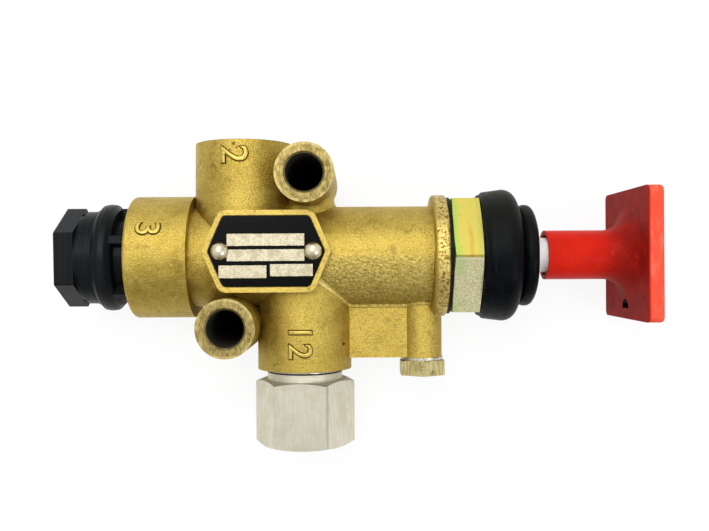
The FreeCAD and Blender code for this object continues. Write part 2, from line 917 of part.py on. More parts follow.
def spool_rod():
    """The spool with its two sealing lands, turned in one piece with the rod."""
    land = "spool_bore_r - land_clearance"
    groove = "spool_bore_r - o_ring_gap - 2 * o_ring_r - o_ring_gap"
    rear = "-rear_land_end"
    front = "-front_land_end - land_w"
    side = "(land_w - o_ring_groove_w) / 2"
    outline = [
        (f"{rear} - spool_tail_len", "0"),
        (f"{rear} - spool_tail_len", "spool_tail_r - rod_chamfer"),
        (f"{rear} - spool_tail_len + rod_chamfer", "spool_tail_r"),
        (rear, "spool_tail_r"),
    ]
    for start, after in ((rear, "spool_stem_r"), (front, "rod_r")):
        outline += [
            (start, land),
            (f"{start} + {side}", land),
            (f"{start} + {side}", groove),
            (f"{start} + {side} + o_ring_groove_w", groove),
            (f"{start} + {side} + o_ring_groove_w", land),
            (f"{start} + land_w", land),
            (f"{start} + land_w", after),
        ]
        if after == "spool_stem_r":
            outline.append((front, "spool_stem_r"))
    outline += [
        ("rod_end - rod_chamfer", "rod_r"),
        ("rod_end", "rod_r - rod_chamfer"),
        ("rod_end", "0"),
    ]
    return turned("spool_rod", outline)


def knob():
    """The square pull knob: sleeve, concave flare and plate moulded in one piece."""
    sleeve = cylinder(
        "knob_sleeve",
        "knob_sleeve_r",
        "knob_back - knob_mouth + knob_plate_t / 2",
        ("knob_mouth", "0", "0"),
    )
    block = box(
        "knob_block",
        ("knob_plate_t", "2 * knob_half", "2 * knob_half"),
        ("knob_back", "-knob_half", "-knob_half"),
    )
    plate = rounded("knob_corners", block, "knob_corner_r", along_x)
    front = number("knob_back + knob_plate_t")
    soft_plate = rounded(
        "knob_plate",
        plate,
        "knob_edge_round",
        lambda e: all(abs(v.X - front) < SAME_PLACE for v in e.Vertexes),
    )
    flared = rounded(
        "knob_flare",
        fused("knob_outside", [sleeve, soft_plate]),
        "knob_flare_r",
        ring_at("knob_back", "knob_sleeve_r"),
    )
    bore = turned(
        "knob_bore",
        [
            ("knob_mouth", "0"),
            ("knob_mouth", "knob_mouth_r"),
            ("knob_mouth + knob_mouth_depth", "knob_mouth_r"),
            ("knob_mouth + knob_mouth_depth", "rod_r + knob_fit"),
            ("rod_end + knob_fit", "rod_r + knob_fit"),
            ("rod_end + knob_fit", "0"),
        ],
    )
    round_notch = cylinder(
        "knob_notch_round",
        "knob_notch_r",
        "knob_notch_depth",
        ("knob_back", "-knob_notch_y", "knob_notch_z"),
    )
    half_space = box(
        "knob_notch_half",
        ("knob_notch_depth", "knob_notch_r", "2 * knob_notch_r"),
        ("knob_back", "-knob_notch_y", "knob_notch_z - knob_notch_r"),
    )
    notch = common("knob_notch", round_notch, half_space)
    return cut("pull_knob", flared, fused("knob_tools", [bore, notch]))


def parts():
    """Every sub-part by name."""
    ring_at_port = ("-lower_port_x", "-lower_port_end", "0")
    o_ring_at_port = ("-lower_port_x", "-lower_port_end - adapter_ring_t", "0")
    seal_r = "spool_bore_r - o_ring_gap - o_ring_r"
    side = "(land_w - o_ring_groove_w) / 2 + o_ring_groove_w / 2"
    shank_hole = "port_thread_r + thread_clearance"
    return {
        "housing": housing(),
        "nameplate": nameplate(),
        "plate_rivet_left": rivet("plate_rivet_left", -1),
        "plate_rivet_right": rivet("plate_rivet_right", 1),
        "vent_insert": vent_insert(),
        "port_adapter": port_adapter(),
        "adapter_ring": washer(
            "adapter_ring", "adapter_collar_r", shank_hole, "adapter_ring_t", ring_at_port, "-Y"
        ),
        "adapter_o_ring": washer(
            "adapter_o_ring",
            "adapter_o_ring_r",
            shank_hole,
            "adapter_o_ring_t",
            o_ring_at_port,
            "-Y",
        ),
        "test_plug": test_plug(),
        "test_plug_washer": washer(
            "test_plug_washer",
            "test_washer_r",
            "test_hole_r + thread_clearance",
            "test_washer_t",
            ("-test_boss_x", "-test_boss_end", "0"),
            "-Y",
        ),
        "panel_washer": washer(
            "panel_washer",
            "panel_washer_r",
            "neck_r + nut_thread_gap",
            "panel_washer_t",
            ("0", "0", "0"),
            "X",
        ),
        "panel_nut": panel_nut(),
        "rubber_boot": boot(),
        "guide_bush": guide_bush(),
        "bush_seal": o_ring(
            "bush_seal", "bush_bore_r - o_ring_r - o_ring_gap", "bush_seal_x"
        ),
        "rod_seal": o_ring("rod_seal", "rod_r + o_ring_r + o_ring_gap", "rod_seal_x"),
        "rod_wiper": washer(
            "rod_wiper",
            "wiper_outer_r",
            "rod_r + o_ring_gap",
            "wiper_t",
            ("bush_end - wiper_t", "0", "0"),
            "X",
        ),
        "circlip": circlip(),
        "spool_rod": spool_rod(),
        "rear_spool_seal": o_ring("rear_spool_seal", seal_r, f"-rear_land_end + {side}"),
        "front_spool_seal": o_ring(
            "front_spool_seal", seal_r, f"-front_land_end - land_w + {side}"
        ),
        "pull_knob": knob(),
    }


def main():
    made = parts()
    doc.recompute()
    for item in doc.Objects:
        if {"Invalid", "Error"} & set(item.State):
            raise RuntimeError(f"{item.Name} failed: {item.State}")
    os.makedirs("parts", exist_ok=True)
    for node, item in made.items():
        item.Label = node
        shape = item.Shape
        if shape.isNull() or not shape.isValid() or not shape.Solids:
            raise RuntimeError(f"{node} has no valid solid")
        print(f"{node}: {len(shape.Solids)} solid, {shape.Volume:.0f} mm3")
    for node, item in made.items():
        item.Shape.exportStep(f"parts/{node}.step")


main()
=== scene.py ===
"""Looks of the release valve: cast brass body, black vent, aluminium adapter, boot and red knob."""
import math

import bmesh
import bpy
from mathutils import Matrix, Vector, noise


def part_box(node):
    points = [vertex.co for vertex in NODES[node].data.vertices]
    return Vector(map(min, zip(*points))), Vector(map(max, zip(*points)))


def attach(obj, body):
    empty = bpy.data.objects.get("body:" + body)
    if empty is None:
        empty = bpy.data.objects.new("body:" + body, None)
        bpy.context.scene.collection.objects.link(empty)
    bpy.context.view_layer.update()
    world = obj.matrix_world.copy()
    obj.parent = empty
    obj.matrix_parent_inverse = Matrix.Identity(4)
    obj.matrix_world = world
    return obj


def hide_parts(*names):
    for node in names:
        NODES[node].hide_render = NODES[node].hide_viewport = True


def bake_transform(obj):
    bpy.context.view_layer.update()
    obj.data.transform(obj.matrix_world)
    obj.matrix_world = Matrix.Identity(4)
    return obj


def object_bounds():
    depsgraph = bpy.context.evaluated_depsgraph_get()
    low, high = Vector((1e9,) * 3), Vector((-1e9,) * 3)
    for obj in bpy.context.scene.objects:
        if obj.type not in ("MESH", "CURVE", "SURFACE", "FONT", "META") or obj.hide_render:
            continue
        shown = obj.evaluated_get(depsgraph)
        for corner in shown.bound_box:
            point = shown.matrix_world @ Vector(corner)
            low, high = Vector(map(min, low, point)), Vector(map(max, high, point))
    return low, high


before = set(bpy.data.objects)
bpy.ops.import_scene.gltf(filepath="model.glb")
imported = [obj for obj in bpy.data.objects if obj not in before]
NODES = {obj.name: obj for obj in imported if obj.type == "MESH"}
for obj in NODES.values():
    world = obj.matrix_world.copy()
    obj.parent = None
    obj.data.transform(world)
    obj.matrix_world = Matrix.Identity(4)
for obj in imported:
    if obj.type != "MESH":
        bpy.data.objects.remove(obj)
CAD_LOW, CAD_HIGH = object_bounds()

MM = 0.001
FULL_TURN = 2 * math.pi


# Places read from the frame, in millimetres
def span(node):
    """The lowest and highest corner of a CAD node, in millimetres."""
    low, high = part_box(node)
    return low / MM, high / MM


HOUSING_LOW, HOUSING_HIGH = span("housing")
PLATE_LOW, PLATE_HIGH = span("nameplate")
ADAPTER_LOW, ADAPTER_HIGH = span("port_adapter")
BOOT_LOW, BOOT_HIGH = span("rubber_boot")
ROD_R = span("spool_rod")[1].z
LOWER_PORT_X = (ADAPTER_LOW.x + ADAPTER_HIGH.x) / 2

# Sizes of the casting, in millimetres
BARREL_R = 12.1
FLANGE_R = 14.8
FLANGE_T = 3.5
UPPER_PORT_X = -48.9
UPPER_PORT_R = 11.8
LOWER_PORT_R = 11.4
LOWER_PORT_END = -27.2
EXHAUST_BOSS_R = 14.75
MOUNT_BOSS_R = 6.8
MOUNT_HOLE_R = 4.25
MOUNT_BOSSES = ((-33.35, 18.8), (-51.3, -16.4))
PORT_THREAD_R = 7.25
PAD_FRONT = 13.8
PAD_Y = 1.1
PAD_REACH = 10.2
BOSS_FRONT = 16.4
PORT_DEPTH_Y = 12.5
PEBBLED_X = -31.5

# Sizes of the small pieces, in millimetres
BOOT_ROOT_R = 14.7
BOOT_BELLY_R = 16.05
BOOT_FACE = 9.2
THREAD_PITCH = 1.5
THREAD_RIDGE_R = 0.45
MOUTH_CHAMFER = 1.3

# The height of a cast number's points above the casting, kept as a mesh attribute
RISE = "rise"

# Turns round a lathed piece
BOOT_TURNS = 168
FOOT_TURNS = 64


# Shader maths
class Value:
    """One output of a material's nodes; an expression on values adds its Math nodes."""

    def __init__(self, paint, socket):
        self.paint = paint
        self.socket = socket

    def math(self, operation, *others, clamp=False):
        return self.paint.math(operation, self, *others, clamp=clamp)

    def __add__(self, other):
        return self.math("ADD", other)

    def __radd__(self, other):
        return self.math("ADD", other)

    def __sub__(self, other):
        return self.math("SUBTRACT", other)

    def __rsub__(self, other):
        return self.paint.math("SUBTRACT", other, self)

    def __mul__(self, other):
        return self.math("MULTIPLY", other)

    def __rmul__(self, other):
        return self.math("MULTIPLY", other)

    def __pow__(self, other):
        return self.math("POWER", other)

    def __abs__(self):
        return self.math("ABSOLUTE")


class Paint:
    """One material, made of its principled shader and the nodes that feed it."""

    def __init__(self, name):
        self.material = bpy.data.materials.new(name)
        self.material.use_nodes = True
        self.tree = self.material.node_tree
        self.tree.nodes.clear()
        self.shader = self.tree.nodes.new("ShaderNodeBsdfPrincipled")
        self.output = self.tree.nodes.new("ShaderNodeOutputMaterial")
        self.tree.links.new(self.shader.outputs["BSDF"], self.output.inputs["Surface"])
        place = self.node("TexCoord", out="Object")
        self.at = self.node("VectorMath", {"operation": "SCALE"}, {0: place, "Scale": 1 / MM})
        axes = [self.node("SeparateXYZ", {}, {0: self.at}, out=k) for k in range(3)]
        self.x, self.y, self.z = axes

    def node(self, kind, settings=None, sockets=None, out=0):
        """Adds a shader node: its settings first, then the values or links of its sockets."""
        node = self.tree.nodes.new("ShaderNode" + kind)
        for key, value in (settings or {}).items():
            setattr(node, key, value)
        for key, value in (sockets or {}).items():
            self.feed(node.inputs[key], value)
        return Value(self, node.outputs[out])

    def feed(self, socket, value):
        if isinstance(value, Value):
            self.tree.links.new(value.socket, socket)
        else:
            socket.default_value = value

    @staticmethod
    def socket_name(word):
        return word.replace("_", " ").title().replace("Ior", "IOR")

    def math(self, operation, *values, clamp=False):
        settings = {"operation": operation, "use_clamp": clamp}
        return self.node("Math", settings, dict(enumerate(values)))

    def mix(self, share, first, second):
        """A colour between two colours."""
        return self.node("Mix", {"data_type": "RGBA"}, {0: share, 6: first, 7: second}, out=2)

    def ramp(self, value, low, high):
        """0 below low and 1 above high, with a soft change between; the other way if low > high."""
        if low > high:
            return 1 - self.ramp(value, high, low)
        sockets = {0: value, 1: low, 2: high}
        return self.node("MapRange", {"interpolation_type": "SMOOTHSTEP"}, sockets)

    def band(self, value, low, high, soft):
        """1 between low and high, falling to 0 over the soft width outside."""
        return self.ramp(value, low - soft, low) * self.ramp(value, high + soft, high)

    def either(self, *masks):
        """1 where any of the masks is 1."""
        total = masks[0]
        for mask in masks[1:]:
            total = total.math("MAXIMUM", mask)
        return total

    def stretched(self, x, y, z):
        """The place, scaled along each axis, for a pattern that runs in one direction."""
        return self.node("VectorMath", {"operation": "MULTIPLY"}, {0: self.at, 1: (x, y, z)})

    def noise(self, scale, detail=2.0, roughness=0.5, at=None, distortion=0.0):
        """Noise about 0.5, with scale features to the millimetre."""
        sockets = {
            "Vector": at or self.at,
            "Scale": scale,
            "Detail": detail,
            "Roughness": roughness,
            "Distortion": distortion,
        }
        return self.node("TexNoise", {}, sockets)

    def marks(self, scale, most, detail=4.0, roughness=0.75):
        """Scattered marks: 1 where fine noise passes the given level."""
        return self.ramp(self.noise(scale, detail, roughness), most, most + 0.05)

    def apart(self, x, y):
        """The distance from an upright line at X, Y."""
        return ((self.x - x) ** 2 + (self.y - y) ** 2) ** 0.5

    def radius(self):
        """The distance from the spool's axis."""
        return (self.y * self.y + self.z * self.z) ** 0.5

    def port_radius(self, x):
        """The distance from a port's axis, which runs along Y."""
        return ((self.x - x) ** 2 + self.z * self.z) ** 0.5

    def finish(self, colour, roughness, height=None, **fixed):
        """Feeds the shader: colour, roughness, a height in millimetres, and sockets by name."""
        self.feed(self.shader.inputs["Base Color"], colour)
        self.feed(self.shader.inputs["Roughness"], roughness)
        for name, value in fixed.items():
            self.feed(self.shader.inputs[self.socket_name(name)], value)
        if height is not None:
            bump = self.node("Bump", {}, {"Distance": MM, "Height": height})
            self.feed(self.shader.inputs["Normal"], bump)
        return self.material


def colour(red, green, blue):
    """A shader colour from the 0 to 255 values that it shows."""
    def linear(value):
        share = value / 255
        return share / 12.92 if share <= 0.04045 else ((share + 0.055) / 1.055) ** 2.4

    return (linear(red), linear(green), linear(blue), 1.0)


# Finishes
def cast_brass():
    """Satin cast brass: pebbled in places, pitted, machined where tools have cut it."""
    p = Paint("cast_brass_finish")
    on_barrel = p.ramp(p.radius(), BARREL_R + 0.9, BARREL_R + 0.5)
    pebbled = on_barrel * p.ramp(p.y, 0.8, -0.8) * p.band(p.x, PEBBLED_X, -FLANGE_T - 0.3, 0.5)
    coarse = p.noise(1.5, 3.0, 0.6)
    fine = p.noise(3.2, 3.0, 0.65)
    broad = p.noise(0.09, 2.0, 0.5)
    cloud = p.noise(0.45, 3.0, 0.6)

    gold = p.mix(p.ramp(broad, 0.35, 0.65), colour(190, 165, 78), colour(170, 146, 64))
    gold = p.mix(p.ramp(cloud, 0.35, 0.7) * 0.5, gold, colour(208, 184, 98))
    gold = p.mix(p.ramp(fine, 0.45, 0.64) * 0.5, gold, colour(116, 94, 36))
    stain = p.ramp(p.noise(0.28, 5.0, 0.7, distortion=0.5), 0.54, 0.68)
    gold = p.mix(stain * 0.45, gold, colour(112, 92, 44))
    dust = p.marks(3.0, 0.6)
    gold = p.mix(dust * 0.3, gold, colour(84, 66, 30))
    gold = p.mix(pebbled * 0.6, gold, colour(184, 164, 88))
    # Painted highlight on the tops of the pebbling, where the bump noise is highest.
    pebble_highlights = p.ramp(coarse, 0.5, 0.62)
    gold = p.mix(pebbled * pebble_highlights * 0.45, gold, colour(226, 204, 124))
    gold = p.mix(pebbled * p.ramp(coarse, 0.46, 0.36) * 0.5, gold, colour(120, 102, 46))
    patch = p.ramp(p.noise(0.2), 0.45, 0.6)
    specks = p.ramp(p.noise(2.6, 2.0, 0.6), 0.66, 0.72) * patch
    gold = p.mix(specks * 0.75, gold, colour(70, 52, 24))
    spots = (
        (-49.9, 26.1, 0.55),
        (-49.2, 25.2, 0.35),
        (-50.8, 24.7, 0.3),
        (-24.8, -20.9, 0.45),
    )
    for x, y, r in spots:
        gold = p.mix(p.ramp(p.apart(x, y), r, r * 0.5) * 0.8, gold, colour(60, 44, 22))

    bosses = [p.apart(x, y) for x, y in MOUNT_BOSSES]
    on_boss = p.either(*(p.ramp(at, MOUNT_BOSS_R + 0.5, MOUNT_BOSS_R + 0.2) for at in bosses))
    boss_faces = on_boss * p.ramp(abs(p.z), BOSS_FRONT, BOSS_FRONT + 0.05)
    port_faces = p.either(
        p.ramp(p.y, HOUSING_HIGH.y - 0.1, HOUSING_HIGH.y - 0.03),
        p.ramp(p.y, LOWER_PORT_END + 0.1, LOWER_PORT_END + 0.03),
    )
    end_faces = p.ramp(p.x, HOUSING_LOW.x + 0.1, HOUSING_LOW.x + 0.03)
    machined = p.either(boss_faces, port_faces, end_faces)
    streaks = p.noise(2.4, 4.0, 0.65, at=p.stretched(1.0, 0.25, 1.0))
    cut = p.mix(p.ramp(streaks, 0.38, 0.62), colour(124, 108, 64), colour(162, 146, 92))
    cut = p.mix(p.ramp(p.noise(0.7, 4.0, 0.7), 0.48, 0.64) * 0.6, cut, colour(84, 70, 38))
    gold = p.mix(machined * 0.95, gold, cut)
    # Painted highlight: a bright ring round the outer edge of each mounting boss's face.
    rim = p.either(*(p.band(at, MOUNT_BOSS_R - 0.5, MOUNT_BOSS_R + 0.1, 0.15) for at in bosses))
    gold = p.mix(rim * boss_faces * p.ramp(cloud, 0.4, 0.6) * 0.5, gold, colour(206, 188, 126))

    on_pad = p.band(p.x, PLATE_LOW.x - 3.0, PLATE_HIGH.x + 3.0, 0.1)
    on_pad = on_pad * p.ramp(abs(p.y - PAD_Y), PAD_REACH, PAD_REACH - 0.2)
    # Painted highlight along the pad's front edge, broken by the nicks.
    pad_rim_highlight = p.band(p.z, PAD_FRONT - 0.45, PAD_FRONT + 0.1, 0.1) * (1 - on_boss) * on_pad
    nicks = p.marks(1.1, 0.54)
    gold = p.mix(pad_rim_highlight * (1 - nicks) * 0.45, gold, colour(214, 190, 106))

    # Painted highlight: a thin bright line where the barrel meets the lower port.
    near, soft = 0.3, 0.1
    crease_highlight = p.band(p.radius(), BARREL_R - near, BARREL_R + near, soft)
    from_port = p.port_radius(LOWER_PORT_X)
    crease_highlight = crease_highlight * p.band(from_port, LOWER_PORT_R - near, LOWER_PORT_R + near, soft)
    crease_highlight = crease_highlight * p.ramp(p.x, LOWER_PORT_X, LOWER_PORT_X + 4.0) * p.ramp(p.y, 0.0, -2.0)
    gold = p.mix(crease_highlight * 0.7, gold, colour(240, 220, 140))

    jagged = p.noise(0.9, 4.0, 0.7) * 2.4 - 1.2
    worn = p.ramp(p.x + jagged * 0.7, -3.0, -2.7)
    worn = worn * p.band(p.radius(), FLANGE_R - 0.35, FLANGE_R + 0.2, 0.1) * p.ramp(p.x, 0.3, 0.1)
    bright_wear = p.ramp(p.noise(1.3, 4.0, 0.7), 0.48, 0.6)
    worn_tone = p.mix(bright_wear, colour(206, 182, 106), colour(128, 102, 44))
    pits = p.ramp(p.noise(0.9, 4.0, 0.7, distortion=0.6), 0.61, 0.66)
    worn_tone = p.mix(pits, worn_tone, colour(52, 38, 18))
    gold = p.mix(worn, gold, worn_tone)

    # Painted shade: the mounting holes darkened to near black, rougher and less metallic inside.
    bolt_hole_shade = p.either(*(p.ramp(at, MOUNT_HOLE_R + 0.16, MOUNT_HOLE_R + 0.04) for at in bosses))
    ports = p.either(
        p.ramp(p.port_radius(UPPER_PORT_X), PORT_THREAD_R + 0.2, PORT_THREAD_R + 0.05)
        * p.ramp(p.y, PORT_DEPTH_Y, PORT_DEPTH_Y + 0.5),
        p.ramp(p.port_radius(LOWER_PORT_X), PORT_THREAD_R + 0.2, PORT_THREAD_R + 0.05)
        * p.ramp(p.y, -PORT_DEPTH_Y, -PORT_DEPTH_Y - 0.5),
    )
    gold = p.mix(bolt_hole_shade * 0.97, gold, colour(22, 17, 9))
    # Painted shade: the two port bores darkened inside.
    gold = p.mix(ports * 0.5, gold, colour(92, 74, 36))

    grain = coarse * (0.07 + pebbled * 0.3) + fine * 0.1
    height = grain * (1 - machined * 0.8) + streaks * machined * 0.06 - specks * 0.05
    height = height - worn * pits * 0.12
    rough = 0.46 + p.ramp(cloud, 0.3, 0.7) * 0.1 - worn * 0.14 - machined * 0.02 + bolt_hole_shade * 0.4
    return p.finish(gold, rough, height, metallic=1 - bolt_hole_shade * 0.8)


def number_brass():
    """Cast numbers: painted shade in the corner where they rise from the casting, plain brass on
    top.
    """
    p = Paint("number_brass_finish")
    rise = p.node("Attribute", {"attribute_name": RISE}, out="Fac")
    grime = p.noise(1.6, 3.0, 0.65)
    # Painted shade: dark where a number's point is low, at its foot.
    tone = p.mix(p.ramp(rise + grime * 0.1, 0.28, 0.46), colour(66, 50, 20), colour(192, 168, 86))
    tone = p.mix(p.ramp(grime, 0.5, 0.68) * 0.4, tone, colour(116, 92, 38))
    return p.finish(tone, 0.38, p.noise(3.0, 3.0, 0.6) * 0.06, metallic=1.0)


def turned_brass():
    """Machined brass, greyer than the casting, with chatter marks and small nicks."""
    p = Paint("turned_brass_finish")
    lines = p.noise(3.0, 2.0, 0.5, at=p.stretched(1.0, 0.12, 1.0))
    tone = p.mix(p.ramp(lines, 0.35, 0.65), colour(174, 158, 102), colour(210, 196, 146))
    stain = p.ramp(p.noise(0.7, 4.0, 0.7), 0.55, 0.68)
    tone = p.mix(stain * 0.65, tone, colour(104, 88, 52))
    tone = p.mix(p.marks(2.2, 0.66) * 0.6, tone, colour(52, 42, 24))
    height = lines * 0.04 - stain * 0.03
    return p.finish(tone, 0.36 + stain * 0.2, height, metallic=1.0)


def black_plate():
    """The printed plate: gloss black with four bare metal fields."""
    p = Paint("black_plate_finish")
    edge = p.noise(1.6, 2.0, 0.6) * 0.16 - 0.08
    fields = (
        ((-51.3, -33.6), (2.4, 5.1)),
        ((-51.3, -33.6), (-1.1, 1.5)),
        ((-53.2, -42.3), (-5.0, -2.15)),
        ((-41.4, -31.7), (-4.6, -1.9)),
    )
    bare = 0.0
    for (left, right), (bottom, top) in fields:
        inside = p.band(p.x + edge, left, right, 0.06) * p.band(p.y + edge, bottom, top, 0.06)
        bare = inside + bare
    bare = bare * p.ramp(p.z, PLATE_HIGH.z - 0.06, PLATE_HIGH.z - 0.02)
    grain = p.noise(3.0, 3.0, 0.6, at=p.stretched(0.5, 1.0, 1.0))
    silver = p.mix(p.ramp(grain, 0.3, 0.7), colour(166, 158, 134), colour(204, 196, 170))
    silver = p.mix(p.ramp(p.noise(0.5, 3.0, 0.6), 0.45, 0.65) * 0.5, silver, colour(150, 138, 106))
    tone = p.mix(bare, colour(5, 5, 6), silver)
    scratches = p.ramp(p.noise(2.0, 4.0, 0.8), 0.7, 0.72)
    tone = p.mix(scratches * (1 - bare), tone, colour(96, 92, 84))
    height = bare * -0.03 + grain * bare * 0.02
    return p.finish(tone, 0.26 + bare * 0.24, height, metallic=bare * 0.85, specular_ior_level=0.05)


def nickel():
    """Bright rivet heads, a little tarnished."""
    p = Paint("nickel_finish")
    tarnish = p.ramp(p.noise(0.8, 3.0, 0.6), 0.45, 0.7)
    tone = p.mix(tarnish * 0.7, colour(222, 212, 184), colour(176, 158, 108))
    return p.finish(tone, 0.22 + tarnish * 0.14, p.noise(2.0, 3.0) * 0.02, metallic=1.0)


def black_plastic():
    """Moulded black plastic with fine turning lines and light scuffs."""
    p = Paint("black_plastic_finish")
    lines = p.noise(5.0, 1.0, 0.4, at=p.stretched(1.0, 0.01, 0.01))
    dust = p.marks(3.2, 0.68)
    tone = p.mix(p.ramp(lines, 0.4, 0.7) * 0.5, colour(14, 16, 19), colour(28, 30, 32))
    tone = p.mix(dust * 0.4, tone, colour(96, 88, 72))
    height = lines * 0.05 + p.noise(4.0, 2.0) * 0.012
    return p.finish(tone, 0.34 + dust * 0.2, height, specular_ior_level=0.09)


def washer_paint():
    """Black washer, worn to a brown line at its rim."""
    p = Paint("washer_finish")
    wear = p.marks(1.4, 0.6) * p.ramp(p.radius(), 11.5, 13.0)
    tone = p.mix(wear * 0.5, colour(14, 14, 15), colour(84, 70, 42))
    return p.finish(tone, 0.55, p.noise(3.0, 3.0) * 0.03, specular_ior_level=0.1)


def aluminium():
    """Drawn and turned aluminium, satin, with light lines, pits and dark specks."""
    p = Paint("aluminium_finish")
    drawn = p.noise(2.4, 3.0, 0.55, at=p.stretched(1.0, 0.1, 1.0))
    cloud = p.noise(0.3, 3.0, 0.6)
    tone = p.mix(p.ramp(drawn, 0.3, 0.7), colour(206, 202, 182), colour(220, 216, 200))
    tone = p.mix(p.ramp(cloud, 0.4, 0.7) * 0.5, tone, colour(200, 192, 164))
    specks = p.marks(2.8, 0.68)
    tone = p.mix(specks * 0.7, tone, colour(96, 90, 74))
    scuffs = p.marks(0.9, 0.64)
    tone = p.mix(scuffs * 0.4, tone, colour(226, 222, 210))
    # Painted shade that dulls the adapter's top face.
    top_face_shade = p.ramp(p.z, ADAPTER_HIGH.z - 1.0, ADAPTER_HIGH.z - 0.7)
    tone = p.mix(top_face_shade * 0.5, tone, colour(160, 155, 140))
    height = drawn * 0.02 + p.noise(3.5, 2.0) * 0.02 - specks * 0.05
    return p.finish(tone, 0.52 + p.ramp(cloud, 0.3, 0.7) * 0.12, height, metallic=0.92)


def tin():
    """Bright sealing washers."""
    p = Paint("tin_finish")
    mark = p.noise(2.4, 3.0, 0.6)
    tone = p.mix(p.ramp(mark, 0.4, 0.7), colour(206, 202, 190), colour(150, 142, 120))
    return p.finish(tone, 0.34, mark * 0.03, metallic=1.0)


def seal_rubber():
    p = Paint("seal_rubber_finish")
    mark = p.noise(2.0, 3.0, 0.6)
    tone = p.mix(mark, colour(12, 12, 13), colour(26, 26, 27))
    return p.finish(tone, 0.5, mark * 0.02, specular_ior_level=0.3)


def boot_rubber():
    """Black rubber with a painted olive sheen above and along its upper and lower edges, and faint
    handling marks.
    """
    p = Paint("boot_rubber_finish")
    bloom = p.noise(0.22, 4.0, 0.6)
    fine = p.noise(3.6, 3.0, 0.65)
    # Painted sheen: olive towards the top of the boot.
    above = p.ramp(p.y, -3.0, 14.0)
    tone = p.mix(p.ramp(bloom, 0.35, 0.7) * 0.6, colour(4, 5, 8), colour(10, 12, 16))
    tone = p.mix(above * 0.6, tone, colour(28, 30, 24))
    # Painted sheen: lighter olive along the upper and lower edges.
    edges = p.ramp(abs(p.y), 14.4, 16.2)
    tone = p.mix(edges * 0.6, tone, colour(72, 70, 48))
    wiped = p.noise(0.8, 4.0, 0.7, at=p.stretched(1.0, 0.3, 0.3))
    tone = p.mix(p.ramp(wiped, 0.56, 0.7) * 0.3, tone, colour(36, 40, 46))
    dust = p.marks(2.4, 0.68)
    tone = p.mix(dust * 0.3, tone, colour(84, 84, 78))
    rough = 0.34 + p.ramp(bloom, 0.3, 0.7) * 0.14
    return p.finish(tone, rough, fine * 0.04 + bloom * 0.14, specular_ior_level=0.05)


def yellow_zinc():
    """Yellow passivated zinc: iridescent above the corner, matt and stained below it."""
    p = Paint("yellow_zinc_finish")
    corner_y = -0.8
    wave = p.noise(0.3, 2.0, 0.5) * 2.6 - 1.3
    upper = p.ramp(p.y, corner_y - 0.15, corner_y + 0.15)
    film = p.mix(p.ramp(p.x + wave, 0.8, 3.0), colour(176, 200, 92), colour(212, 196, 92))
    drift = p.noise(0.3, 3.0, 0.6) * 2.2 - 1.1
    stripe = p.band(p.x + drift, 4.5, 4.8, 0.45) * p.ramp(p.y, 9.0, 5.0)
    film = p.mix(stripe * 0.4, film, colour(206, 140, 44))
    film = p.mix(p.ramp(p.x, 5.8, 7.2) * 0.5, film, colour(184, 186, 96))
    grain = p.noise(2.6, 4.0, 0.7)
    matt = p.mix(p.ramp(grain, 0.35, 0.65), colour(204, 196, 146), colour(246, 238, 196))
    stain = p.ramp(p.noise(0.4, 3.0, 0.6), 0.42, 0.62) * p.ramp(p.x, 4.6, 2.0)
    matt = p.mix(stain * 0.6, matt, colour(186, 212, 128))
    tone = p.mix(upper, matt, film)
    tone = p.mix(p.ramp(p.noise(1.4, 4.0, 0.7), 0.6, 0.68) * 0.35, tone, colour(110, 98, 50))
    corner = p.band(p.y + wave * 0.15, corner_y - 0.12, corner_y + 0.12, 0.14)
    tone = p.mix(corner * 0.7, tone, colour(240, 236, 196))
    rough = 0.46 - upper * 0.1
    return p.finish(tone, rough, grain * (0.06 - upper * 0.04), metallic=0.85)


def spring_steel():
    p = Paint("spring_steel_finish")
    mark = p.noise(1.5, 3.0, 0.6)
    tone = p.mix(mark, colour(96, 94, 92), colour(140, 136, 130))
    return p.finish(tone, 0.35, mark * 0.02, metallic=1.0)


def bright_rod():
    """Ground and polished rod with fine rings and faint stains."""
    p = Paint("bright_rod_finish")
    rings = p.noise(6.0, 2.0, 0.5, at=p.stretched(1.0, 0.02, 0.02))
    tone = p.mix(p.ramp(rings, 0.3, 0.7), colour(226, 225, 222), colour(248, 248, 246))
    tone = p.mix(p.marks(0.9, 0.6) * 0.4, tone, colour(196, 190, 174))
    return p.finish(tone, 0.4, rings * 0.03, metallic=0.0)


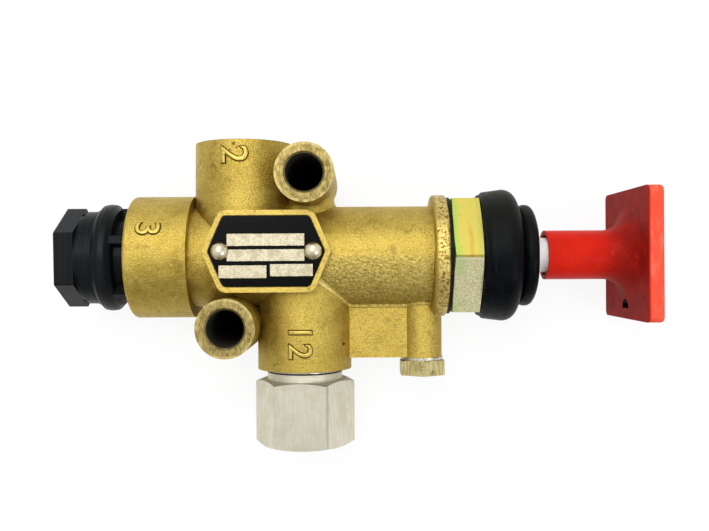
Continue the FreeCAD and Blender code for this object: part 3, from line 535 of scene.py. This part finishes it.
def red_plastic():
    """Red moulded plastic, with painted shade on the back of the plate, scuffed on its edges."""
    p = Paint("red_plastic_finish")
    cloud = p.noise(0.18, 3.0, 0.6)
    tone = p.mix(p.ramp(cloud, 0.3, 0.7) * 0.5, colour(194, 32, 16), colour(172, 24, 16))
    # Painted shade: darker from the sleeve towards the back of the plate, mottled.
    back = p.ramp(p.x, 36.0, 43.5) * p.ramp(p.x, 44.9, 44.55)
    mottle = p.ramp(p.noise(0.25, 3.0, 0.6), 0.3, 0.7)
    tone = p.mix(back * (0.55 + mottle * 0.2), tone, colour(84, 14, 10))
    edge = p.ramp(p.x, 44.6, 45.3)
    tone = p.mix(edge * 0.8, tone, colour(224, 84, 60))
    scuffs = p.ramp(p.noise(0.5, 4.0, 0.7, at=p.stretched(1.0, 0.3, 0.5)), 0.46, 0.7)
    tone = p.mix(edge * scuffs * 0.5, tone, colour(238, 122, 98))
    marks = p.marks(2.4, 0.69)
    tone = p.mix(marks * 0.5, tone, colour(92, 20, 16))
    rubbed = p.ramp(p.noise(0.7, 4.0, 0.7), 0.58, 0.7) * (1 - edge)
    tone = p.mix(rubbed * 0.12, tone, colour(222, 92, 74))
    notch_y, notch_z, notch_r = -13.1, -0.4, 2.15
    from_notch = ((p.y - notch_y) ** 2 + (p.z - notch_z) ** 2) ** 0.5
    in_half = p.ramp(p.y, notch_y - 0.1, notch_y - 0.05) * p.ramp(p.x, 47.6, 47.3)
    # Painted shade: the notch pocket darkened to near black.
    notch_shade = p.ramp(from_notch, notch_r + 0.05, notch_r) * in_half
    tone = p.mix(notch_shade, tone, colour(12, 2, 2))
    height = cloud * 0.08 + p.noise(3.0, 3.0) * 0.012 - marks * 0.02
    rough = 0.32 + scuffs * edge * 0.2 + back * 0.2 + notch_shade * 0.3
    return p.finish(tone, rough, height, specular_ior_level=0.05)


def set_finish(piece, material):
    """Puts one finish on a piece."""
    if not piece.material_slots:
        piece.data.materials.append(material)
    for slot in piece.material_slots:
        slot.material = material


def dress_nodes():
    """Gives each CAD node its finish, and returns the finishes that new pieces share."""
    finishes = {
        cast_brass: ["housing"],
        turned_brass: ["test_plug", "guide_bush"],
        black_plate: ["nameplate"],
        nickel: ["plate_rivet_left", "plate_rivet_right"],
        black_plastic: ["vent_insert"],
        washer_paint: ["panel_washer"],
        aluminium: ["port_adapter"],
        tin: ["adapter_ring", "test_plug_washer"],
        seal_rubber: [
            "adapter_o_ring",
            "bush_seal",
            "rod_seal",
            "rod_wiper",
            "rear_spool_seal",
            "front_spool_seal",
        ],
        spring_steel: ["circlip"],
        yellow_zinc: ["panel_nut"],
        bright_rod: ["spool_rod"],
        red_plastic: ["pull_knob"],
        boot_rubber: ["rubber_boot"],
    }
    made = {}
    for make, nodes in finishes.items():
        made[make] = make()
        for node in nodes:
            set_finish(NODES[node], made[make])
    return made


# Pieces of the scene
def new_piece(name, mesh, material):
    """An object at the origin, with its place in its mesh."""
    piece = bpy.data.objects.new(name, mesh)
    bpy.context.scene.collection.objects.link(piece)
    set_finish(piece, material)
    mesh.polygons.foreach_set("use_smooth", [True] * len(mesh.polygons))
    return piece


def arc(centre_x, centre_r, radius, start, end, steps=8):
    """Points of an arc in the lathe's plane, with angles in degrees from +X towards the outside."""
    points = []
    for k in range(steps + 1):
        angle = math.radians(start + (end - start) * k / steps)
        points.append((centre_x + radius * math.cos(angle), centre_r + radius * math.sin(angle)))
    return points


def boot_outline():
    """The boot's section: outside from root to lip, then back along the inside."""
    start, tip = BOOT_LOW.x, BOOT_HIGH.x
    root_r, belly_r, wall, fold = BOOT_ROOT_R, BOOT_BELLY_R, 1.7, 0.45
    face = start + BOOT_FACE
    shoulder, widest = 3.3, 5.8
    slit, slit_r = 0.5, 8.6
    disc_r, disc_round = 12.35, 1.7
    bore_r, lip = ROD_R + 0.12, 0.5
    disc = face + slit
    outline = arc(start + 0.3, root_r - 0.3, 0.3, 180, 100, 3)
    for k in range(9):
        share = k / 8
        swell = 0.45 * (1 - math.exp(-25 * share)) + 0.55 * share
        outline.append((start + 0.5 + (widest - 0.5) * share, root_r + (belly_r - root_r) * swell))
    outline += arc(face - shoulder, belly_r - shoulder, shoulder, 86, 4, 14)
    outline += [(face, belly_r - shoulder - 1.2), (face - 0.15, slit_r + 1.2)]
    outline += arc(face + slit / 2, slit_r + fold, slit / 2 + 0.05, 180, 360, 6)
    outline += [(disc + 0.05, slit_r + 1.2)]
    outline += arc(disc + disc_round, disc_r - disc_round, disc_round, 176, 92, 10)
    outline += arc(tip - disc_round, disc_r - disc_round, disc_round, 88, 4, 10)
    outline += [(tip - 0.25, disc_r - 3.4), (tip - 0.5, bore_r + 2.4), (tip - 0.3, bore_r + 1.0)]
    outline += arc(tip - 0.3 - lip, bore_r + lip, lip, 60, -90, 6)
    outline += [(disc + 1.2, bore_r), (disc + 0.6, bore_r + 0.8), (disc + 0.5, slit_r - wall)]
    outline += [(face - wall, slit_r - 0.8), (face - wall, belly_r - shoulder - wall)]
    outline += arc(face - shoulder, belly_r - shoulder, shoulder - wall, 10, 80, 6)
    outline += [(start + 3.0, belly_r - wall - 0.5), (start + 0.9, root_r - wall)]
    outline += [(start, root_r - wall + 0.4)]
    return outline


def boot_piece(material):
    """The rubber boot, turned from its section with the slight unevenness of moulded rubber."""
    outline = boot_outline()
    mesh = bpy.data.meshes.new("boot_shell")
    points, faces = [], []
    for k in range(BOOT_TURNS):
        angle = FULL_TURN * k / BOOT_TURNS
        for x, r in outline:
            seat = Vector((x * 0.12, math.cos(angle) * 1.7, math.sin(angle) * 1.7))
            uneven = 0.09 * noise.noise(seat) + 0.03 * noise.noise(seat * 3.1)
            r_here = r + uneven * min(1.0, max(0.0, (r - 6.0) / 4.0))
            x_here = x + 0.08 * noise.noise(seat + Vector((9.0, 0.0, 0.0)))
            x_here = min(max(x_here, BOOT_LOW.x), BOOT_HIGH.x)
            points.append(Vector((x_here, r_here * math.sin(angle), r_here * math.cos(angle))) * MM)
    count = len(outline)
    for k in range(BOOT_TURNS):
        after = (k + 1) % BOOT_TURNS
        for i in range(count):
            j = (i + 1) % count
            faces.append((k * count + i, after * count + i, after * count + j, k * count + j))
    mesh.from_pydata(points, [], faces)
    solid = bmesh.new()
    solid.from_mesh(mesh)
    bmesh.ops.remove_doubles(solid, verts=solid.verts, dist=0.001 * MM)
    bmesh.ops.recalc_face_normals(solid, faces=solid.faces)
    solid.to_mesh(mesh)
    solid.free()
    piece = new_piece("boot", mesh, material)
    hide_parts("rubber_boot")
    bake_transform(piece)


def text_mesh(text, height, thick, bevel, offset):
    """A raised number as a closed mesh, centred on its own XY plane."""
    curve = bpy.data.curves.new("number_" + text, "FONT")
    curve.body = text
    curve.align_x = "CENTER"
    curve.align_y = "CENTER"
    curve.size = height / 0.7
    curve.space_character = 1.15
    curve.extrude = thick / 2
    curve.bevel_depth = bevel
    curve.bevel_resolution = 3
    curve.offset = offset
    curve.resolution_u = 5
    source = bpy.data.objects.new("number_source", curve)
    bpy.context.scene.collection.objects.link(source)
    graph = bpy.context.evaluated_depsgraph_get()
    mesh = bpy.data.meshes.new_from_object(source.evaluated_get(graph))
    bpy.data.objects.remove(source)
    bpy.data.curves.remove(curve)
    return mesh


def raised_number(name, text, height, wrap, material):
    """A cast number bent onto the casting: wrap gives the place of a point of the flat number."""
    mesh = text_mesh(text, height, thick=0.46, bevel=0.28, offset=-0.17)
    # A thin, wider second layer round the foot of each number, there to carry the painted shade.
    corner = text_mesh(text, height, thick=0.1, bevel=0.08, offset=0.2)
    shape = bmesh.new()
    shape.from_mesh(mesh)
    shape.from_mesh(corner)
    bpy.data.meshes.remove(corner)
    bmesh.ops.remove_doubles(shape, verts=shape.verts, dist=0.002)
    strip = 0.5
    reach = height * len(text)
    for axis in (Vector((1, 0, 0)), Vector((0, 1, 0))):
        for k in range(math.floor(-reach / strip), math.ceil(reach / strip)):
            everything = shape.verts[:] + shape.edges[:] + shape.faces[:]
            bmesh.ops.bisect_plane(shape, geom=everything, plane_co=axis * k * strip, plane_no=axis)
    bmesh.ops.triangulate(shape, faces=shape.faces)
    bmesh.ops.dissolve_degenerate(shape, edges=shape.edges, dist=0.004)
    bmesh.ops.triangulate(shape, faces=shape.faces)
    rise = shape.verts.layers.float.new(RISE)
    for vert in shape.verts:
        vert[rise] = vert.co.z
        vert.co = wrap(*vert.co) * MM
    bmesh.ops.recalc_face_normals(shape, faces=shape.faces)
    shape.to_mesh(mesh)
    shape.free()
    piece = new_piece(name, mesh, material)
    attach(piece, "root")


def on_port(centre_x, centre_y, port_x, port_r):
    """Wraps a number round a port's side: it reads downwards, its top towards +X."""

    def wrap(u, v, w):
        r = port_r + w
        angle = (centre_x + v - port_x) / port_r
        return Vector((port_x + r * math.sin(angle), centre_y - u, r * math.cos(angle)))

    return wrap


def round_axis(centre_x, centre_y, radius):
    """Wraps a number round the spool's axis: it reads downwards, its top towards +X."""

    def wrap(u, v, w):
        r = radius + w
        angle = math.asin(centre_y / radius) - u / radius
        return Vector((centre_x + v, r * math.sin(angle), r * math.cos(angle)))

    return wrap


def numbers(material):
    """The plain port numbers cast on the two ports and the exhaust boss."""
    upper_wrap = on_port(-50.1, 23.6, UPPER_PORT_X, UPPER_PORT_R)
    raised_number("upper_port_number", "2", 6.2, upper_wrap, material)
    lower_wrap = on_port(-35.1, -20.0, LOWER_PORT_X, LOWER_PORT_R)
    raised_number("lower_port_number", "12", 5.4, lower_wrap, material)
    exhaust_wrap = round_axis(-69.8, 6.4, EXHAUST_BOSS_R)
    raised_number("exhaust_number", "3", 5.6, exhaust_wrap, material)


def boss_foot(material):
    """The round pillar that carries the upper mounting boss, bored through with it."""
    foot_r, flare, root_y, steps, turns = 6.4, 1.2, 9.4, 8, FOOT_TURNS
    boss_x, boss_y = MOUNT_BOSSES[0]
    outline = [(foot_r + 0.6, root_y)]
    for k in range(steps + 1):
        angle = math.pi / 2 * k / steps
        y = math.sqrt(BARREL_R ** 2 - 1.0) - 0.1 + flare * math.sin(angle)
        outline.append((foot_r + flare * (1 - math.sin(angle)) * 0.5, y))
    outline.append((foot_r, boss_y))
    shape = bmesh.new()
    rings = []
    for r, y in outline:
        ring = []
        for k in range(turns):
            angle = FULL_TURN * k / turns
            place = (boss_x + r * math.cos(angle), y, r * math.sin(angle))
            ring.append(shape.verts.new(Vector(place) * MM))
        rings.append(ring)
    for lower, upper in zip(rings, rings[1:]):
        for k in range(turns):
            after = (k + 1) % turns
            shape.faces.new((lower[k], lower[after], upper[after], upper[k]))
    shape.faces.new(rings[0])
    shape.faces.new(rings[-1])
    bmesh.ops.recalc_face_normals(shape, faces=shape.faces)
    mesh = bpy.data.meshes.new("boss_foot")
    shape.to_mesh(mesh)
    shape.free()

    bore = bmesh.new()
    bmesh.ops.create_cone(
        bore,
        cap_ends=True,
        segments=turns,
        radius1=(MOUNT_HOLE_R + 0.25) * MM,
        radius2=(MOUNT_HOLE_R + 0.25) * MM,
        depth=4 * foot_r * MM,
    )
    bmesh.ops.translate(bore, verts=bore.verts, vec=Vector((boss_x, boss_y, 0.0)) * MM)
    bore_mesh = bpy.data.meshes.new("foot_bore")
    bore.to_mesh(bore_mesh)
    bore.free()
    cutter = bpy.data.objects.new("foot_bore", bore_mesh)
    bpy.context.scene.collection.objects.link(cutter)

    piece = new_piece("upper_boss_foot", mesh, material)
    cut = piece.modifiers.new("bore", "BOOLEAN")
    cut.operation = "DIFFERENCE"
    cut.solver = "EXACT"
    cut.object = cutter
    graph = bpy.context.evaluated_depsgraph_get()
    piece.data = bpy.data.meshes.new_from_object(piece.evaluated_get(graph))
    piece.modifiers.clear()
    bpy.data.objects.remove(cutter)
    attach(piece, "root")


def thread_tree():
    """Geometry nodes for a female thread: a ridge that climbs a bore as a helix."""
    tree = bpy.data.node_groups.new("thread", "GeometryNodeTree")
    inputs = {}
    for name, kind, value in (
        ("Bore radius", "NodeSocketFloat", PORT_THREAD_R * MM),
        ("Pitch", "NodeSocketFloat", THREAD_PITCH * MM),
        ("Turns", "NodeSocketFloat", 7.0),
        ("Ridge radius", "NodeSocketFloat", THREAD_RIDGE_R * MM),
        ("Steps each turn", "NodeSocketInt", 72),
        ("Finish", "NodeSocketMaterial", None),
    ):
        socket = tree.interface.new_socket(name, in_out="INPUT", socket_type=kind)
        if value is not None:
            socket.default_value = value
        inputs[name] = socket.identifier
    tree.interface.new_socket("Geometry", in_out="OUTPUT", socket_type="NodeSocketGeometry")

    def node(kind, settings=None, **links):
        item = tree.nodes.new(kind)
        for key, value in (settings or {}).items():
            setattr(item, key, value)
        for key, source in links.items():
            tree.links.new(source, item.inputs[key.replace("_", " ")])
        return item

    given = node("NodeGroupInput").outputs
    height = node("ShaderNodeMath", {"operation": "MULTIPLY"})
    tree.links.new(given["Pitch"], height.inputs[0])
    tree.links.new(given["Turns"], height.inputs[1])
    spiral = node(
        "GeometryNodeCurveSpiral",
        Resolution=given["Steps each turn"],
        Rotations=given["Turns"],
        Start_Radius=given["Bore radius"],
        End_Radius=given["Bore radius"],
        Height=height.outputs[0],
    )
    ridge = node("GeometryNodeCurvePrimitiveCircle", Radius=given["Ridge radius"])
    ridge.inputs["Resolution"].default_value = 6
    swept = node(
        "GeometryNodeCurveToMesh",
        Curve=spiral.outputs["Curve"],
        Profile_Curve=ridge.outputs["Curve"],
    )
    swept.inputs["Fill Caps"].default_value = True
    real = node("GeometryNodeRealizeInstances", Geometry=swept.outputs["Mesh"])
    dressed = node(
        "GeometryNodeSetMaterial", Geometry=real.outputs["Geometry"], Material=given["Finish"]
    )
    result = node("NodeGroupOutput")
    tree.links.new(dressed.outputs["Geometry"], result.inputs["Geometry"])
    return tree, inputs


def thread(name, slot, tree, inputs, material, port_x, mouth_y, outwards, turns):
    """A thread in a port's bore, from its mouth inwards."""
    seed = bpy.data.objects.new(name + "_seed", bpy.data.meshes.new(name + "_seed"))
    bpy.context.scene.collection.objects.link(seed)
    modifier = seed.modifiers.new("thread", "NODES")
    modifier.node_group = tree
    modifier[inputs["Turns"]] = turns
    modifier[inputs["Finish"]] = material
    graph = bpy.context.evaluated_depsgraph_get()
    mesh = bpy.data.meshes.new_from_object(seed.evaluated_get(graph))
    bpy.data.objects.remove(seed)
    for vert in mesh.vertices:
        along = vert.co.z + MOUTH_CHAMFER * MM
        place = (port_x * MM + vert.co.x, mouth_y * MM - outwards * along, vert.co.y * outwards)
        vert.co = place
    shape = bmesh.new()
    shape.from_mesh(mesh)
    bmesh.ops.recalc_face_normals(shape, faces=shape.faces)
    shape.to_mesh(mesh)
    shape.free()
    piece = new_piece(name, mesh, material)
    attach(piece, "root")


def threads(brass, metal):
    """The female threads of the upper port and of the adapter's mouth."""
    made = thread_tree()
    port_end, adapter_end = HOUSING_HIGH.y, ADAPTER_LOW.y
    thread("upper_port_thread", "cast_brass", *made, brass, UPPER_PORT_X, port_end, 1, 7.0)
    thread("adapter_thread", "aluminium", *made, metal, LOWER_PORT_X, adapter_end, -1, 6.0)


# Floor, light and camera
def floor():
    """A pale floor that the camera and the metal see as nearly white; it keeps the shadow, and has
    painted shade discs under the mounting holes.
    """
    mesh = bpy.data.meshes.new("floor")
    half = 3.0
    z = CAD_LOW.z
    corners = [(-half, -half, z), (half, -half, z), (half, half, z), (-half, half, z)]
    mesh.from_pydata(corners, [], [(0, 1, 2, 3)])
    piece = bpy.data.objects.new("floor", mesh)
    bpy.context.scene.collection.objects.link(piece)
    p = Paint("floor_finish")
    pale = p.mix(p.noise(0.02, 2.0), colour(246, 246, 245), colour(250, 250, 249))
    shade_under_bosses = p.either(
        *(p.ramp(p.apart(x, y), MOUNT_HOLE_R + 1.2, MOUNT_HOLE_R + 0.8) for x, y in MOUNT_BOSSES)
    )
    # Painted shade: dark discs on the floor under the mounting holes, where the camera's white is
    # also left out.
    pale = p.mix(shade_under_bosses, pale, colour(14, 13, 12))
    material = p.finish(pale, 0.9, specular_ior_level=0.0)
    rays = p.tree.nodes.new("ShaderNodeLightPath").outputs
    camera_ray = Value(p, rays["Is Camera Ray"])
    mirror_ray = Value(p, rays["Is Glossy Ray"]) + Value(p, rays["Is Transmission Ray"])
    white = p.tree.nodes.new("ShaderNodeEmission")
    white.inputs["Strength"].default_value = 1.0
    blend = p.tree.nodes.new("ShaderNodeMixShader")
    seen = (camera_ray * 0.88 + mirror_ray * 0.35).math("MINIMUM", 1.0)
    p.feed(blend.inputs[0], seen * (1 - shade_under_bosses))
    p.tree.links.new(p.shader.outputs["BSDF"], blend.inputs[1])
    p.tree.links.new(white.outputs["Emission"], blend.inputs[2])
    p.tree.links.new(blend.outputs["Shader"], p.output.inputs["Surface"])
    set_finish(piece, material)


def sky():
    """A soft studio sky, brightest overhead, towards the upper port and at both ends."""
    world = bpy.data.worlds.new("studio")
    bpy.context.scene.world = world
    world.use_nodes = True
    tree = world.node_tree
    tree.nodes.clear()
    place = tree.nodes.new("ShaderNodeTexCoord")
    towards = tree.nodes.new("ShaderNodeVectorMath")
    towards.operation = "DOT_PRODUCT"
    towards.inputs[1].default_value = Vector((0.0, 0.5, 1.0)).normalized()
    shade = tree.nodes.new("ShaderNodeMapRange")
    shade.inputs["From Min"].default_value = -0.2
    shade.inputs["From Max"].default_value = 1.0
    shade.inputs["To Min"].default_value = 0.2
    shade.inputs["To Max"].default_value = 0.95
    ends = tree.nodes.new("ShaderNodeSeparateXYZ")
    aside = tree.nodes.new("ShaderNodeMath")
    aside.operation = "ABSOLUTE"
    total = tree.nodes.new("ShaderNodeMath")
    total.operation = "MULTIPLY_ADD"
    end_light = 0.4
    total.inputs[1].default_value = end_light
    light = tree.nodes.new("ShaderNodeBackground")
    output = tree.nodes.new("ShaderNodeOutputWorld")
    tree.links.new(place.outputs["Generated"], towards.inputs[0])
    tree.links.new(towards.outputs["Value"], shade.inputs["Value"])
    tree.links.new(place.outputs["Generated"], ends.inputs[0])
    tree.links.new(ends.outputs["X"], aside.inputs[0])
    tree.links.new(aside.outputs[0], total.inputs[0])
    tree.links.new(shade.outputs["Result"], total.inputs[2])
    tree.links.new(total.outputs[0], light.inputs["Color"])
    tree.links.new(light.outputs["Background"], output.inputs["Surface"])


def lamp(name, place, aim, size, power, tint=(1.0, 1.0, 1.0)):
    """A square soft lamp that points at a place."""
    data = bpy.data.lights.new(name, "AREA")
    data.size = size
    data.energy = power
    data.color = tint
    piece = bpy.data.objects.new(name, data)
    piece.location = place
    piece.rotation_euler = (Vector(aim) - Vector(place)).to_track_quat("-Z", "Y").to_euler()
    bpy.context.scene.collection.objects.link(piece)


def camera():
    """Straight above the valve, as far away as the photograph was taken, and as level."""
    data = bpy.data.cameras.new("camera")
    data.sensor_width = 36.0
    focal_pixels = 810.0
    image_width = 709.0
    data.lens = focal_pixels / image_width * data.sensor_width
    data.clip_start = 0.01
    data.clip_end = 10.0
    piece = bpy.data.objects.new("camera", data)
    piece.location = Vector((-22.1, -2.3, 199.0)) * MM
    roll = math.radians(-0.35)
    piece.rotation_euler = (0.0, 0.0, roll)
    bpy.context.scene.collection.objects.link(piece)
    bpy.context.scene.camera = piece


FINISHES = dress_nodes()
boot_piece(FINISHES[boot_rubber])
numbers(number_brass())
boss_foot(FINISHES[cast_brass])
threads(FINISHES[cast_brass], FINISHES[aluminium])
floor()
sky()
CENTRE = (CAD_LOW + CAD_HIGH) / 2
lamp("key", (-0.13, 0.17, 0.6), CENTRE, 0.2, 1.2)
lamp("side", (-0.1, 0.42, 0.5), CENTRE, 0.3, 1.0)
lamp("fill", (0.3, -0.2, 0.42), CENTRE, 0.14, 0.6, (0.9, 0.95, 1.0))
camera()
bpy.context.scene.view_settings.view_transform = "Standard"
